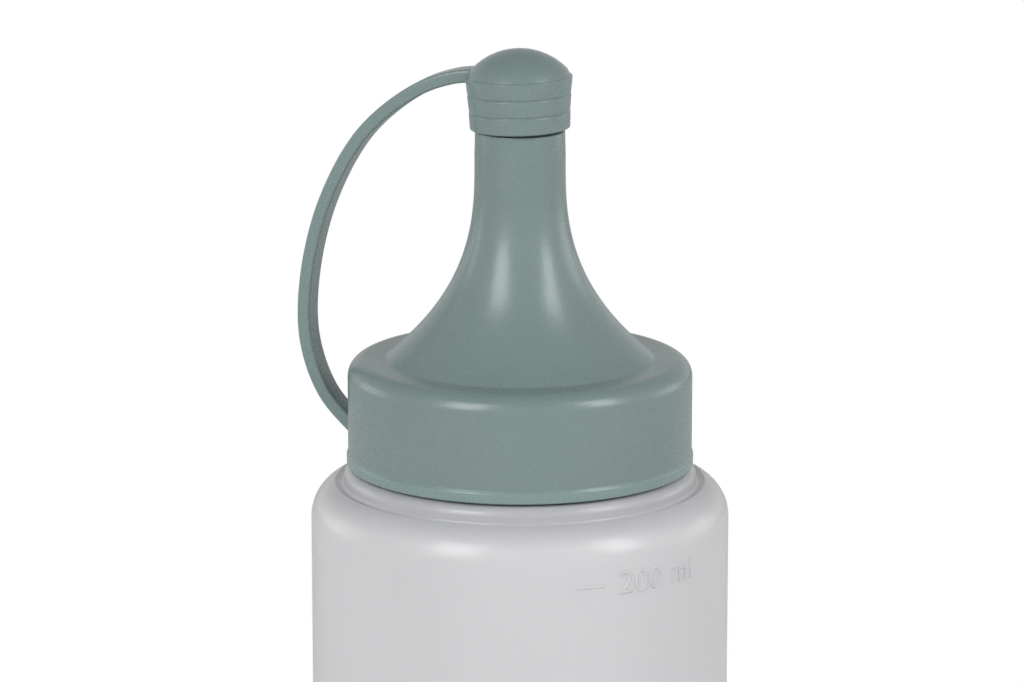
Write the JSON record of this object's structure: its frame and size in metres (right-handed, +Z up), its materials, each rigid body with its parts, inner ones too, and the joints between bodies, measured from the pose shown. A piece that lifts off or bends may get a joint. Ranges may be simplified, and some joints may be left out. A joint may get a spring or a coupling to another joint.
{
  "type": "oil bottle",
  "caption": "Squeeze bottle for oil with a screw-on spout cap, a concave nozzle and a domed tip cap on a flexible strap.",
  "frame": {"origin": "centre of the bottle's flat base", "axes": "+Z up along the bottle's axis, -X towards the side with the strap, -Y towards the viewer"},
  "size_m": [0.0528, 0.051, 0.1679],
  "materials": {
    "milky_plastic": "translucent, softly glossy",
    "green_plastic": "satin",
    "seal_rubber": "matte"
  },
  "bodies": {
    "bottle_body": {"bottle": "milky_plastic"},
    "seal_body": {"seal_washer": "seal_rubber"},
    "spout_body": {"spout_cap": "green_plastic", "strap": "green_plastic"},
    "tip_body": {"tip_cap": "green_plastic"}
  },
  "joints": [
    {"name": "cap_lift", "type": "slide", "parent": "bottle_body", "child": "seal_body", "axis": [0, 0, 1], "range_m": [0, 0.0126]},
    {"name": "cap_turn", "type": "hinge", "parent": "seal_body", "child": "spout_body", "pos_m": [0, 0, 0.13], "axis": [0, 0, 1], "range_deg": [0, 1080]},
    {"name": "tip_pull", "type": "slide", "parent": "spout_body", "child": "tip_body", "axis": [0, 0, 1], "range_m": [0, 0.01], "deforming": ["strap"]}
  ],
  "couplings": [
    {"joint": "cap_lift", "follows": "cap_turn", "m_per_rad": 0.00066845}
  ]
}
